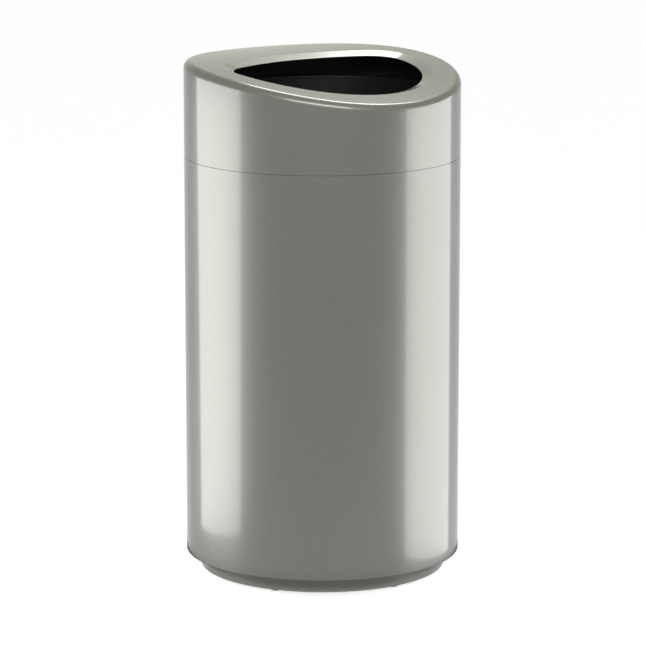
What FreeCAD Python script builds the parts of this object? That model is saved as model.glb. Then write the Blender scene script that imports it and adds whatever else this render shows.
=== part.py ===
import FreeCAD, Part
import math
import os

import Sketcher

# Open-top trash can: a rolled steel body on a recessed plinth, a lift-off lid with an arched top,
# and a rigid liner inside. The origin is on the floor at the axis of the can, +Z is up, and the
# low side of the lid faces -Y.

# Driving sizes in millimetres, each with what it measures
SIZES = [
    ("body_diameter", 508.0, "outside of the shell and of the lid"),
    ("body_height", 741.6, "shell, from its lower edge to its top edge"),
    ("steel_gauge", 1.5, "thickness of all sheet steel"),
    ("foot_bend", 2.5, "outside radius at the lower edge of the shell"),
    ("seam_bend", 2.0, "outside radius at the two edges of the lid joint"),
    ("seam_flange", 11.5, "width of the turned-in edges at the lid joint"),
    ("plinth_rise", 31.0, "lower edge of the shell above the floor"),
    ("plinth_recess", 26.5, "plinth set in from the shell"),
    ("plinth_gap", 1.5, "between the plinth and the turned-in foot of the shell"),
    ("plinth_bend", 3.0, "outside radius of the bends of the plinth"),
    ("plinth_top_flange", 40.5, "width of the plinth's upper flange"),
    ("plinth_foot_flange", 27.0, "width of the plinth's lower flange"),
    ("pan_bend", 5.0, "outside radius at the rim of the bottom pan"),
    ("pan_rim", 20.0, "height of the bottom pan's upturned rim"),
    ("pan_fit", 0.1, "between the pan's rim and the shell"),
    ("bead_height", 6.0, "pressed bead that centres the liner on the pan"),
    ("bead_width", 16.0, "width of that bead at its foot"),
    ("stud_count", 6, "weld studs that hold the plinth"),
    ("stud_diameter", 6.0, "thread of the studs"),
    ("stud_length", 13.0, "studs below the pan"),
    ("stud_hole_gap", 0.3, "around a stud in the plinth and in its washer"),
    ("washer_diameter", 16.0, "outside of the washers"),
    ("washer_thickness", 1.6, "thickness of the washers"),
    ("nut_across_flats", 10.0, "width of the nuts"),
    ("nut_height", 5.0, "height of the nuts"),
    ("thread_gap", 0.1, "around a stud in its nut"),
    ("bumper_count", 6, "rubber feet"),
    ("bumper_diameter", 20.0, "head of a rubber foot"),
    ("bumper_height", 2.0, "plinth above the floor"),
    ("bumper_neck", 8.0, "diameter of the neck in its hole"),
    ("bumper_neck_gap", 0.1, "around the neck in its hole"),
    ("bumper_barb", 11.0, "diameter of the barb above the hole"),
    ("bumper_barb_height", 4.0, "height of the barb"),
    ("collar_rise", 18.0, "locating collar above the top edge of the shell"),
    ("collar_gap", 2.0, "between the collar and the lid's turned-in edge"),
    ("collar_fit", 0.3, "between the collar's leg and the shell"),
    ("gasket_thickness", 0.5, "joint line between body and lid"),
    ("gasket_width", 7.0, "width of the gasket strip"),
    ("gasket_setback", 2.5, "gasket set in from the outside"),
    ("skirt_height", 76.5, "lid skirt, from its lower edge to the weld"),
    ("front_rim_height", 43.9, "low side of the lid's top edge above the weld"),
    ("crown_radius", 1490.0, "arch of the lid's top, about a line along X"),
    ("crown_offset", 146.0, "highest line of the arch behind the axis"),
    ("rim_radius", 13.7, "rounded outer edge of the lid's top"),
    ("deck_width", 71.4, "top between the outer edge and the front arc of the mouth"),
    ("mouth_back_reach", 82.5, "back edge of the mouth behind the axis"),
    ("mouth_back_radius", 429.0, "back edge of the mouth in plan"),
    ("mouth_corner_radius", 57.0, "two corners of the mouth in plan"),
    ("lip_width", 20.0, "sloping lip of the mouth, measured across the top"),
    ("lip_drop", 8.0, "edge of the lip below the top"),
    ("lip_bend", 6.0, "outside radius of the bend where the lip starts"),
    ("liner_wall", 3.0, "wall of the liner"),
    ("liner_floor", 4.0, "floor of the liner"),
    ("liner_side_gap", 4.0, "between the liner's rim and the collar"),
    ("liner_headroom", 4.0, "liner's rim below the low side of the lid's top edge"),
    ("liner_draft", 20.0, "taper of the liner's wall on each side"),
    ("liner_foot_gap", 2.0, "between the liner's foot and the bead"),
    ("liner_heel", 14.0, "outside radius at the foot of the liner"),
    ("rim_overhang", 8.0, "liner's rim beyond its wall"),
    ("rim_turn", 14.0, "depth of the liner's turned-down rim"),
    ("rim_round", 2.4, "rounded top edges of the liner's rim"),
    ("hand_slot_length", 110.0, "hand slots in the liner"),
    ("hand_slot_height", 34.0, "height of the hand slots"),
    ("hand_slot_corner", 14.0, "corner radius of the hand slots"),
    ("hand_slot_drop", 46.0, "middle of the hand slots below the liner's rim"),
]

TOLERANCE = 1e-4
OVERRUN = 1.0
EDGE_SAMPLES = 5
HEX_SIDES = 6
FULL_TURN = 360

doc = FreeCAD.newDocument("open_top_trash_can")
sheet = doc.addObject("Spreadsheet::Sheet", "Sizes")
for row, (alias, number, meaning) in enumerate(SIZES, start=1):
    sheet.set(f"A{row}", meaning)
    sheet.set(f"B{row}", str(number))
    sheet.setAlias(f"B{row}", alias)
doc.recompute()


class Size:
    """A length with its present value and the sheet formula that drives it."""

    def __init__(self, value, formula):
        self.value = value
        self.formula = formula

    def __add__(self, other):
        other = as_size(other)
        return Size(self.value + other.value, f"({self.formula} + {other.formula})")

    def __sub__(self, other):
        other = as_size(other)
        return Size(self.value - other.value, f"({self.formula} - {other.formula})")

    def __mul__(self, other):
        other = as_size(other)
        return Size(self.value * other.value, f"({self.formula} * {other.formula})")

    def __truediv__(self, other):
        other = as_size(other)
        return Size(self.value / other.value, f"({self.formula} / {other.formula})")

    def __neg__(self):
        return Size(-self.value, f"(0 - {self.formula})")


def as_size(number):
    """A plain number, or a Size as it is."""
    return number if isinstance(number, Size) else Size(number, repr(number))


def size(alias):
    """The driving size with this name."""
    return Size(float(sheet.get(alias)), f"Sizes.{alias}")


def square_root(number):
    """Square root of a Size."""
    return Size(math.sqrt(number.value), f"sqrt({number.formula})")


# Radii and levels that more than one piece shares
gauge = size("steel_gauge")
outside = size("body_diameter") / 2
inside = outside - gauge
seam_inner = outside - size("seam_flange")
plinth_outside = outside - size("plinth_recess")
collar_outside = seam_inner - size("collar_gap")
collar_inside = collar_outside - gauge

plinth_foot = size("bumper_height")
shell_foot = size("plinth_rise")
pan_underside = shell_foot + gauge
pan_top = pan_underside + gauge
seam = shell_foot + size("body_height")
lid_foot = seam + size("gasket_thickness")
weld = lid_foot + size("skirt_height")
front_edge = weld + size("front_rim_height")

crown_radius = size("crown_radius")
crown_offset = size("crown_offset")
front_reach = outside + crown_offset
crown_sag = crown_radius - square_root(crown_radius * crown_radius - front_reach * front_reach)
crest = front_edge + crown_sag
crown_centre = crest - crown_radius

liner_rim = collar_inside - size("liner_side_gap")
liner_shoulder = liner_rim - size("rim_overhang")
liner_base = liner_shoulder - size("liner_draft")
liner_top = front_edge - size("liner_headroom")

stud_circle = plinth_outside - size("plinth_top_flange") / 2
bumper_circle = plinth_outside - size("plinth_foot_flange") / 2
stud_radius = size("stud_diameter") / 2

AXIS = as_size(0)


def new_body(label):
    """An empty sub-part with its own label."""
    body = doc.addObject("PartDesign::Body", label)
    body.Label = label
    return body


def origin_feature(body, role):
    """One of the body's own planes or axes."""
    return next(item for item in body.Origin.OriginFeatures if item.Role == role)


def new_sketch(body, name, role, level=None):
    """A sketch on one of the body's planes, raised to a level where one is given."""
    sketch = body.newObject("Sketcher::SketchObject", name)
    sketch.AttachmentSupport = [(origin_feature(body, role), "")]
    sketch.MapMode = "FlatFace"
    if level is not None:
        sketch.setExpression("AttachmentOffset.Base.z", level.formula)
    return sketch


def bind_constraint(sketch, name, constraint, driver):
    """Add one dimension to a sketch and tie it to the sheet."""
    index = sketch.addConstraint(constraint)
    sketch.renameConstraint(index, name)
    sketch.setExpression(f"Constraints.{name}", driver.formula)


def bind_radius(sketch, name, geometry, radius):
    """Tie the radius of a circle or an arc to the sheet."""
    bind_constraint(sketch, name, Sketcher.Constraint("Radius", geometry, radius.value), radius)


def locate(sketch, name, geometry, point, across, up):
    """Tie one sketch point to the origin by its two coordinates."""
    for axis, place in (("X", across), ("Y", up)):
        ends = (-1, 1, geometry, point)
        if place.value < 0:
            ends = (geometry, point, -1, 1)
            place = -place
        constraint = Sketcher.Constraint(f"Distance{axis}", *ends, place.value)
        bind_constraint(sketch, f"{name}_{axis.lower()}", constraint, place)


def flat_point(place):
    """Present position of a pair of Sizes in its sketch."""
    return FreeCAD.Vector(place[0].value, place[1].value, 0)


def add_arc(sketch, centre, radius, start_angle, end_angle):
    """A counter-clockwise arc in a sketch."""
    circle = Part.Circle(centre, FreeCAD.Vector(0, 0, 1), radius)
    return sketch.addGeometry(Part.ArcOfCircle(circle, start_angle, end_angle))


def add_circle(sketch, name, across, up, radius):
    """A circle in a sketch, tied to the origin."""
    centre = FreeCAD.Vector(across.value, up.value, 0)
    circle = sketch.addGeometry(Part.Circle(centre, FreeCAD.Vector(0, 0, 1), radius.value))
    locate(sketch, name, circle, 3, across, up)
    bind_radius(sketch, f"{name}_radius", circle, radius)


def side_step(start, end):
    """Unit step along a side that runs along one of the two sketch axes."""
    run = flat_point(end) - flat_point(start)
    if abs(run.x) > abs(run.y):
        return math.copysign(1, run.x), 0
    return 0, math.copysign(1, run.y)


def moved(place, step, distance):
    """A place moved by a distance along a unit step."""
    return place[0] + distance * step[0], place[1] + distance * step[1]


def draw_outline(sketch, corners):
    """A closed outline of straight sides.

    Each corner is (across, up), or (across, up, bend) where two square sides meet in an arc.
    """
    count = len(corners)
    stops = []
    for index, corner in enumerate(corners):
        place = corner[:2]
        if len(corner) == 2:
            stops.append((place, place, None))
            continue
        bend = corner[2]
        step_in = side_step(corners[index - 1][:2], place)
        step_out = side_step(place, corners[(index + 1) % count][:2])
        arrive = moved(place, step_in, -bend)
        leave = moved(place, step_out, bend)
        stops.append((arrive, leave, (bend, step_in, step_out)))

    ends = [[] for _ in stops]
    starts = [[] for _ in stops]
    for index, (_, leave, _) in enumerate(stops):
        following = (index + 1) % count
        arrive = stops[following][0]
        side = sketch.addGeometry(Part.LineSegment(flat_point(leave), flat_point(arrive)))
        starts[index] = (side, 1)
        ends[following] = (side, 2)

    for index, (arrive, leave, bend) in enumerate(stops):
        locate(sketch, f"corner{index}", *ends[index], *arrive)
        if bend is None:
            sketch.addConstraint(Sketcher.Constraint("Coincident", *ends[index], *starts[index]))
            continue
        locate(sketch, f"leave{index}", *starts[index], *leave)
        radius, step_in, step_out = bend
        turns_left = step_in[0] * step_out[1] - step_in[1] * step_out[0] > 0
        centre = flat_point(moved(arrive, step_out, radius))
        first, last = (arrive, leave) if turns_left else (leave, arrive)
        spoke_first = flat_point(first) - centre
        spoke_last = flat_point(last) - centre
        start_angle = math.atan2(spoke_first.y, spoke_first.x)
        end_angle = math.atan2(spoke_last.y, spoke_last.x)
        if end_angle < start_angle:
            end_angle += 2 * math.pi
        arc = add_arc(sketch, centre, radius.value, start_angle, end_angle)
        arrive_end, leave_end = (1, 2) if turns_left else (2, 1)
        sketch.addConstraint(Sketcher.Constraint("Coincident", *ends[index], arc, arrive_end))
        sketch.addConstraint(Sketcher.Constraint("Coincident", *starts[index], arc, leave_end))
        bind_radius(sketch, f"bend{index}", arc, radius)


def revolve(body, name, corners):
    """A full turn about Z of an outline drawn as (radius, level) corners."""
    sketch = new_sketch(body, f"{name}_profile", "XZ_Plane")
    draw_outline(sketch, corners)
    turn = body.newObject("PartDesign::Revolution", name)
    turn.Profile = sketch
    turn.ReferenceAxis = (sketch, ["V_Axis"])
    turn.Angle = FULL_TURN
    doc.recompute()
    return turn


def pad(body, sketch, name, height):
    """Raise a sketch by a height."""
    raised = body.newObject("PartDesign::Pad", name)
    raised.Profile = sketch
    raised.setExpression("Length", height.formula)
    doc.recompute()
    return raised


def pocket(body, sketch, name, depth=None):
    """Cut a sketch downwards by a depth, or right through both ways, and see that it cuts."""
    before = body.Shape.Volume
    cut = body.newObject("PartDesign::Pocket", name)
    cut.Profile = sketch
    if depth is None:
        cut.Type = "ThroughAll"
        cut.Midplane = True
    else:
        cut.setExpression("Length", depth.formula)
    doc.recompute()
    if body.Shape.Volume > before - TOLERANCE:
        raise RuntimeError(f"{name} cuts nothing")
    return cut


def ring_of(body, name, features, count_alias):
    """Repeat features evenly about Z."""
    ring = body.newObject("PartDesign::PolarPattern", name)
    ring.Originals = features
    ring.Axis = (origin_feature(body, "Z_Axis"), [""])
    ring.Angle = FULL_TURN
    ring.setExpression("Occurrences", f"Sizes.{count_alias}")
    body.Tip = ring
    doc.recompute()


def edges_where(shape, test):
    """Names of the edges that pass a test all along."""
    names = []
    for index, edge in enumerate(shape.Edges, start=1):
        first, last = edge.ParameterRange
        spacing = (last - first) / (EDGE_SAMPLES - 1)
        if all(test(edge.valueAt(first + spacing * sample)) for sample in range(EDGE_SAMPLES)):
            names.append(f"Edge{index}")
    return names


def round_edges(body, name, base, test, radius):
    """Round the edges that pass a test."""
    names = edges_where(base.Shape, test)
    if not names:
        raise RuntimeError(f"{name} finds no edge")
    rounding = body.newObject("PartDesign::Fillet", name)
    rounding.Base = (base, names)
    rounding.setExpression("Radius", radius.formula)
    doc.recompute()
    return rounding


def slope_edges(body, name, base, test, width, drop):
    """Slope the edges that pass a test, by a width across the top and a drop down the wall."""
    names = edges_where(base.Shape, test)
    if not names:
        raise RuntimeError(f"{name} finds no edge")
    slope = body.newObject("PartDesign::Chamfer", name)
    slope.Base = (base, names)
    slope.ChamferType = "Two distances"
    slope.setExpression("Size", width.formula)
    slope.setExpression("Size2", drop.formula)
    doc.recompute()
    return slope


def on_ring(radius, level):
    """Test for points on a circle about Z."""
    def test(point):
        off_radius = abs(math.hypot(point.x, point.y) - radius.value)
        return off_radius < TOLERANCE and abs(point.z - level.value) < TOLERANCE
    return test


def arch_level(across, radius):
    """Level of an arch with the lid's centre line at a distance behind the axis."""
    return crown_centre.value + math.sqrt(radius.value ** 2 - (across - crown_offset.value) ** 2)


def on_arch(radius, nearest, furthest):
    """Test for points on an arch, between two distances from the axis."""
    def test(point):
        from_axis = math.hypot(point.x, point.y)
        on_surface = abs(point.z - arch_level(point.y, radius)) < TOLERANCE
        return on_surface and nearest - TOLERANCE < from_axis < furthest + TOLERANCE
    return test


def trim_above_arch(body, name, radius, drop):
    """Cut away all that lies above an arch about the lid's centre line, lowered by a drop."""
    sketch = new_sketch(body, f"{name}_side", "YZ_Plane")
    reach = outside + OVERRUN
    ceiling = crest + size("rim_radius")
    centre = (crown_offset, crown_centre - drop)
    back_angle = math.acos((reach.value - crown_offset.value) / radius.value)
    front_angle = math.acos((-reach.value - crown_offset.value) / radius.value)
    arc = add_arc(sketch, flat_point(centre), radius.value, back_angle, front_angle)
    spokes = [FreeCAD.Vector(math.cos(a), math.sin(a), 0) for a in (back_angle, front_angle)]
    ends = [flat_point(centre) + spoke * radius.value for spoke in spokes]
    tops = [FreeCAD.Vector(end.x, ceiling.value, 0) for end in ends]
    back = sketch.addGeometry(Part.LineSegment(ends[0], tops[0]))
    top = sketch.addGeometry(Part.LineSegment(tops[0], tops[1]))
    front = sketch.addGeometry(Part.LineSegment(tops[1], ends[1]))
    sketch.addConstraint(Sketcher.Constraint("Coincident", arc, 1, back, 1))
    sketch.addConstraint(Sketcher.Constraint("Coincident", back, 2, top, 1))
    sketch.addConstraint(Sketcher.Constraint("Coincident", top, 2, front, 1))
    sketch.addConstraint(Sketcher.Constraint("Coincident", front, 2, arc, 2))
    sketch.addConstraint(Sketcher.Constraint("Vertical", back))
    sketch.addConstraint(Sketcher.Constraint("Vertical", front))
    locate(sketch, "centre", arc, 3, *centre)
    bind_radius(sketch, "arch", arc, radius)
    locate(sketch, "top_back", top, 1, reach, ceiling)
    locate(sketch, "top_front", top, 2, -reach, ceiling)
    return pocket(body, sketch, name)


def draw_mouth(sketch, grow):
    """The mouth in plan, grown outwards: a front arc, a flatter back arc and two rounded corners."""
    front = outside - size("deck_width") + grow
    back = size("mouth_back_radius") + grow
    corner = size("mouth_corner_radius") + grow
    back_centre = size("mouth_back_reach") - size("mouth_back_radius")

    apart = -back_centre.value
    near = front.value - corner.value
    far = back.value - corner.value
    along = (far ** 2 - near ** 2 + apart ** 2) / (2 * apart)
    corner_across = math.sqrt(far ** 2 - along ** 2)
    corner_back = back_centre.value + along
    front_angle = math.atan2(corner_back, corner_across)
    back_angle = math.atan2(along, corner_across)

    front_arc = add_arc(sketch, FreeCAD.Vector(0, 0, 0), front.value,
                        math.pi - front_angle, 2 * math.pi + front_angle)
    right_arc = add_arc(sketch, FreeCAD.Vector(corner_across, corner_back, 0), corner.value,
                        front_angle, back_angle)
    back_arc = add_arc(sketch, FreeCAD.Vector(0, back_centre.value, 0), back.value,
                       back_angle, math.pi - back_angle)
    left_arc = add_arc(sketch, FreeCAD.Vector(-corner_across, corner_back, 0), corner.value,
                       math.pi - back_angle, math.pi - front_angle)

    loop = [front_arc, right_arc, back_arc, left_arc]
    for index, arc in enumerate(loop):
        sketch.addConstraint(Sketcher.Constraint("Tangent", loop[index - 1], 2, arc, 1))
    locate(sketch, "front_centre", front_arc, 3, AXIS, AXIS)
    locate(sketch, "back_centre", back_arc, 3, AXIS, back_centre)
    for name, arc, radius in (("front", front_arc, front), ("back", back_arc, back),
                              ("right", right_arc, corner), ("left", left_arc, corner)):
        bind_radius(sketch, f"{name}_radius", arc, radius)


def make_body_shell():
    """Rolled cylinder, turned in at its foot and at its top edge."""
    body = new_body("body_shell")
    foot_bend = size("foot_bend")
    seam_bend = size("seam_bend")
    foot_inner = plinth_outside + size("plinth_gap")
    revolve(body, "rolled_wall", [
        (foot_inner, shell_foot),
        (outside, shell_foot, foot_bend),
        (outside, seam, seam_bend),
        (seam_inner, seam),
        (seam_inner, seam - gauge),
        (inside, seam - gauge, seam_bend - gauge),
        (inside, pan_underside, foot_bend - gauge),
        (foot_inner, pan_underside),
    ])
    return body


def make_bottom_pan():
    """Floor of the body: a disc with an upturned rim and a pressed bead around the liner's foot."""
    body = new_body("bottom_pan")
    rim_outside = inside - size("pan_fit")
    pan_bend = size("pan_bend")
    rim_top = pan_underside + size("pan_rim")
    bead_height = size("bead_height")
    bead_start = liner_base + size("liner_foot_gap")
    bead_end = bead_start + size("bead_width")
    revolve(body, "pressed_disc", [
        (AXIS, pan_underside),
        (bead_start, pan_underside),
        (bead_start + bead_height, pan_underside + bead_height),
        (bead_end - bead_height, pan_underside + bead_height),
        (bead_end, pan_underside),
        (rim_outside, pan_underside, pan_bend),
        (rim_outside, rim_top),
        (rim_outside - gauge, rim_top),
        (rim_outside - gauge, pan_top, pan_bend - gauge),
        (bead_end, pan_top),
        (bead_end - bead_height, pan_top + bead_height),
        (bead_start + bead_height, pan_top + bead_height),
        (bead_start, pan_top),
        (AXIS, pan_top),
    ])
    return body


def make_locating_collar():
    """Angle ring under the shell's top flange, whose upright leg keeps the lid in place."""
    body = new_body("locating_collar")
    leg_outside = inside - size("collar_fit")
    leg_top = seam - gauge
    leg_underside = leg_top - gauge
    collar_top = seam + size("collar_rise")
    bend = size("seam_bend")
    revolve(body, "angle_ring", [
        (collar_inside, leg_underside, bend),
        (leg_outside, leg_underside),
        (leg_outside, leg_top),
        (collar_outside, leg_top, bend - gauge),
        (collar_outside, collar_top),
        (collar_inside, collar_top),
    ])
    return body


def make_lid_gasket():
    """Rubber strip on the shell's top flange that the lid stands on."""
    body = new_body("lid_gasket")
    strip_outside = outside - size("gasket_setback")
    strip_inside = strip_outside - size("gasket_width")
    revolve(body, "strip", [
        (strip_inside, seam),
        (strip_outside, seam),
        (strip_outside, lid_foot),
        (strip_inside, lid_foot),
    ])
    return body


def make_plinth_ring():
    """Channel ring that opens inwards, with holes for the studs and for the rubber feet."""
    body = new_body("plinth_ring")
    bend = size("plinth_bend")
    top_inner = plinth_outside - size("plinth_top_flange")
    foot_inner = plinth_outside - size("plinth_foot_flange")
    revolve(body, "channel", [
        (foot_inner, plinth_foot),
        (plinth_outside, plinth_foot, bend),
        (plinth_outside, pan_underside, bend),
        (top_inner, pan_underside),
        (top_inner, shell_foot),
        (plinth_outside - gauge, shell_foot, bend - gauge),
        (plinth_outside - gauge, plinth_foot + gauge, bend - gauge),
        (foot_inner, plinth_foot + gauge),
    ])
    stud_sketch = new_sketch(body, "stud_hole_plan", "XY_Plane", pan_underside)
    add_circle(stud_sketch, "stud_hole", stud_circle, AXIS, stud_radius + size("stud_hole_gap"))
    stud_hole = pocket(body, stud_sketch, "stud_hole", gauge + OVERRUN)
    ring_of(body, "stud_holes", [stud_hole], "stud_count")
    neck_hole_radius = size("bumper_neck") / 2 + size("bumper_neck_gap")
    bumper_sketch = new_sketch(body, "bumper_hole_plan", "XY_Plane", plinth_foot + gauge)
    add_circle(bumper_sketch, "bumper_hole", AXIS, bumper_circle, neck_hole_radius)
    bumper_hole = pocket(body, bumper_sketch, "bumper_hole", gauge + OVERRUN)
    ring_of(body, "bumper_holes", [bumper_hole], "bumper_count")
    return body


def make_plinth_studs():
    """Threaded studs welded under the pan."""
    body = new_body("plinth_studs")
    level = pan_underside - size("stud_length")
    sketch = new_sketch(body, "stud_plan", "XY_Plane", level)
    add_circle(sketch, "stud", stud_circle, AXIS, stud_radius)
    stud = pad(body, sketch, "stud", size("stud_length"))
    ring_of(body, "studs", [stud], "stud_count")
    return body


def make_stud_washers():
    """Flat washers between the plinth's upper flange and the nuts."""
    body = new_body("stud_washers")
    level = shell_foot - size("washer_thickness")
    sketch = new_sketch(body, "washer_plan", "XY_Plane", level)
    add_circle(sketch, "washer", stud_circle, AXIS, size("washer_diameter") / 2)
    add_circle(sketch, "hole", stud_circle, AXIS, stud_radius + size("stud_hole_gap"))
    washer = pad(body, sketch, "washer", size("washer_thickness"))
    ring_of(body, "washers", [washer], "stud_count")
    return body


def make_stud_nuts():
    """Hexagon nuts on the studs."""
    body = new_body("stud_nuts")
    level = shell_foot - size("washer_thickness") - size("nut_height")
    sketch = new_sketch(body, "nut_plan", "XY_Plane", level)
    corner_radius = size("nut_across_flats") / math.sqrt(3)
    corners = []
    for corner in range(HEX_SIDES):
        angle = 2 * math.pi * corner / HEX_SIDES
        across = stud_circle + corner_radius * math.cos(angle)
        corners.append((across, corner_radius * math.sin(angle)))
    draw_outline(sketch, corners)
    add_circle(sketch, "thread", stud_circle, AXIS, stud_radius + size("thread_gap"))
    nut = pad(body, sketch, "nut", size("nut_height"))
    ring_of(body, "nuts", [nut], "stud_count")
    return body


def make_floor_bumpers():
    """Push-in rubber feet: a flat head, a neck in the plinth's hole and a barb above it."""
    body = new_body("floor_bumpers")
    stack = [
        ("head", size("bumper_diameter") / 2, AXIS, plinth_foot),
        ("neck", size("bumper_neck") / 2, plinth_foot, gauge),
        ("barb", size("bumper_barb") / 2, plinth_foot + gauge, size("bumper_barb_height")),
    ]
    features = []
    for name, radius, level, height in stack:
        sketch = new_sketch(body, f"{name}_plan", "XY_Plane", level)
        add_circle(sketch, name, AXIS, bumper_circle, radius)
        features.append(pad(body, sketch, name, height))
    ring_of(body, "bumpers", features, "bumper_count")
    return body


def make_lid_skirt():
    """Rolled band of the lid, turned in at its lower edge."""
    body = new_body("lid_skirt")
    seam_bend = size("seam_bend")
    revolve(body, "rolled_band", [
        (seam_inner, lid_foot),
        (outside, lid_foot, seam_bend),
        (outside, weld),
        (inside, weld),
        (inside, lid_foot + gauge, seam_bend - gauge),
        (seam_inner, lid_foot + gauge),
    ])
    return body


def make_lid_cap():
    """Arched top of the lid: its outer form less the hollow under it."""
    height = crest + size("rim_radius") - weld
    rim_radius = size("rim_radius")
    lip_width = size("lip_width")
    lip_drop = size("lip_drop")
    lip_bend = size("lip_bend")
    deck_limit = outside.value - rim_radius.value

    outer = new_body("cap_outside")
    disc = new_sketch(outer, "disc_plan", "XY_Plane", weld)
    add_circle(disc, "disc", AXIS, AXIS, outside)
    pad(outer, disc, "disc", height)
    top = trim_above_arch(outer, "crown", crown_radius, AXIS)
    outer_edge = on_arch(crown_radius, outside.value, outside.value)
    round_edges(outer, "rim", top, outer_edge, rim_radius)
    mouth = new_sketch(outer, "mouth_plan", "XY_Plane", weld)
    draw_mouth(mouth, AXIS)
    opening = pocket(outer, mouth, "mouth")
    mouth_edge = on_arch(crown_radius, 0, deck_limit)
    lip = slope_edges(outer, "lip", opening, mouth_edge, lip_width, lip_drop)
    round_edges(outer, "lip_bend", lip, mouth_edge, lip_bend)

    inner = new_body("cap_inside")
    inner_crown = crown_radius - gauge
    steepness = lip_drop / lip_width
    through_lip = gauge * square_root(steepness * steepness + 1)
    under_drop = lip_drop + through_lip - gauge
    hollow = new_sketch(inner, "hollow_plan", "XY_Plane", weld)
    add_circle(hollow, "hollow", AXIS, AXIS, inside)
    pad(inner, hollow, "hollow", height)
    trim_above_arch(inner, "under_lip", crown_radius, lip_drop + gauge * 3)
    around = new_sketch(inner, "around_lip_plan", "XY_Plane", weld)
    add_circle(around, "around", AXIS, AXIS, inside)
    draw_mouth(around, -as_size(OVERRUN))
    pad(inner, around, "around_lip", height)
    under = trim_above_arch(inner, "crown_inside", inner_crown, AXIS)
    inner_edge = on_arch(inner_crown, inside.value, inside.value)
    under_rim = round_edges(inner, "rim_inside", under, inner_edge, rim_radius - gauge)
    inner_mouth = on_arch(inner_crown, 0, deck_limit)
    lip_inside = slope_edges(inner, "lip_inside", under_rim, inner_mouth,
                             under_drop / steepness + OVERRUN, under_drop + steepness * OVERRUN)
    round_edges(inner, "bend_inside", lip_inside, inner_mouth, lip_bend - gauge)

    cap = doc.addObject("Part::Cut", "lid_cap")
    cap.Label = "lid_cap"
    cap.Base = outer
    cap.Tool = inner
    doc.recompute()
    return cap


def make_liner_bucket():
    """Tapered liner with a turned-down rim and two hand slots."""
    body = new_body("liner_bucket")
    wall = size("liner_wall")
    floor_top = pan_top + size("liner_floor")
    heel = size("liner_heel")
    turn = revolve(body, "moulding", [
        (AXIS, pan_top),
        (liner_base, pan_top),
        (liner_shoulder, liner_top - wall),
        (liner_rim - wall, liner_top - wall),
        (liner_rim - wall, liner_top - size("rim_turn")),
        (liner_rim, liner_top - size("rim_turn")),
        (liner_rim, liner_top),
        (liner_shoulder - wall, liner_top),
        (liner_base - wall, floor_top),
        (AXIS, floor_top),
    ])
    rim_round = size("rim_round")
    foot_edge = on_ring(liner_base, pan_top)
    floor_edge = on_ring(liner_base - wall, floor_top)
    outer_rim_edge = on_ring(liner_rim, liner_top)
    inner_rim_edge = on_ring(liner_shoulder - wall, liner_top)
    outer_heel = round_edges(body, "heel", turn, foot_edge, heel)
    inner_heel = round_edges(body, "heel_inside", outer_heel, floor_edge, heel - wall)
    outer_rim = round_edges(body, "rim_outside", inner_heel, outer_rim_edge, rim_round)
    round_edges(body, "rim_inside", outer_rim, inner_rim_edge, rim_round)

    slots = new_sketch(body, "hand_slot_side", "YZ_Plane")
    half_length = size("hand_slot_length") / 2
    middle = liner_top - size("hand_slot_drop")
    slot_low = middle - size("hand_slot_height") / 2
    slot_high = middle + size("hand_slot_height") / 2
    corner = size("hand_slot_corner")
    draw_outline(slots, [
        (-half_length, slot_low, corner),
        (half_length, slot_low, corner),
        (half_length, slot_high, corner),
        (-half_length, slot_high, corner),
    ])
    pocket(body, slots, "hand_slots")
    return body


subparts = [
    make_body_shell(),
    make_bottom_pan(),
    make_locating_collar(),
    make_lid_gasket(),
    make_plinth_ring(),
    make_plinth_studs(),
    make_stud_washers(),
    make_stud_nuts(),
    make_floor_bumpers(),
    make_lid_skirt(),
    make_lid_cap(),
    make_liner_bucket(),
]
doc.recompute()

for item in doc.Objects:
    if "Invalid" in item.State or "Error" in item.State:
        raise RuntimeError(f"{item.Label} failed: {item.State}")
for subpart in subparts:
    if subpart.Shape.isNull() or not subpart.Shape.isValid():
        raise RuntimeError(f"{subpart.Label} has no valid shape")

os.makedirs("parts", exist_ok=True)
for subpart in subparts:
    subpart.Shape.exportStep(f"parts/{subpart.Label}.step")
    solids = len(subpart.Shape.Solids)
    print(f"{subpart.Label}: {solids} solid(s), {subpart.Shape.Volume / 1000:.1f} cm3")
print(f"overall height {crest.value:.1f} mm")
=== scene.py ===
"""Open-top trash can, dressed for a studio picture.

The origin is on the floor at the axis of the can, +Z is up, and the low side of the lid faces -Y.
All sizes are in metres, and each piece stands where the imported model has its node.
"""

import logging
import math
from collections.abc import Callable, Iterable, Mapping, Sequence
from dataclasses import dataclass
from enum import Enum

import bmesh
import bpy
from bpy.types import Material, Node, NodeSocket, NodeTree, Object
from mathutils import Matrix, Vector


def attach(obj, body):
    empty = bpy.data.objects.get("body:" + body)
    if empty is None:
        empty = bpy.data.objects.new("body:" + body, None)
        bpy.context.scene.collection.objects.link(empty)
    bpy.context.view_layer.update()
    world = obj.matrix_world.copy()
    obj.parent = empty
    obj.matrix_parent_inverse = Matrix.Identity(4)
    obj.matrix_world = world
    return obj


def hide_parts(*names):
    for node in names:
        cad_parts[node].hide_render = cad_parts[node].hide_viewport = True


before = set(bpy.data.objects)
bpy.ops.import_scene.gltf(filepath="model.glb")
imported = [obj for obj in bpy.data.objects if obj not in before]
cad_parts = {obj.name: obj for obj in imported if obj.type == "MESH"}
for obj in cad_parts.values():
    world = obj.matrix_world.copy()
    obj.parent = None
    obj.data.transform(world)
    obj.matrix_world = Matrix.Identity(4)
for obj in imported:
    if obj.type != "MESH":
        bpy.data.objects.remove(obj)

MM = 0.001
COLUMNS = 288
SMALL_COLUMNS = 48
ARC_STEPS = 9
DRILL_SIDES = 32
SLOT_CORNER_STEPS = 10
HOLD = 0.5 * MM
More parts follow.
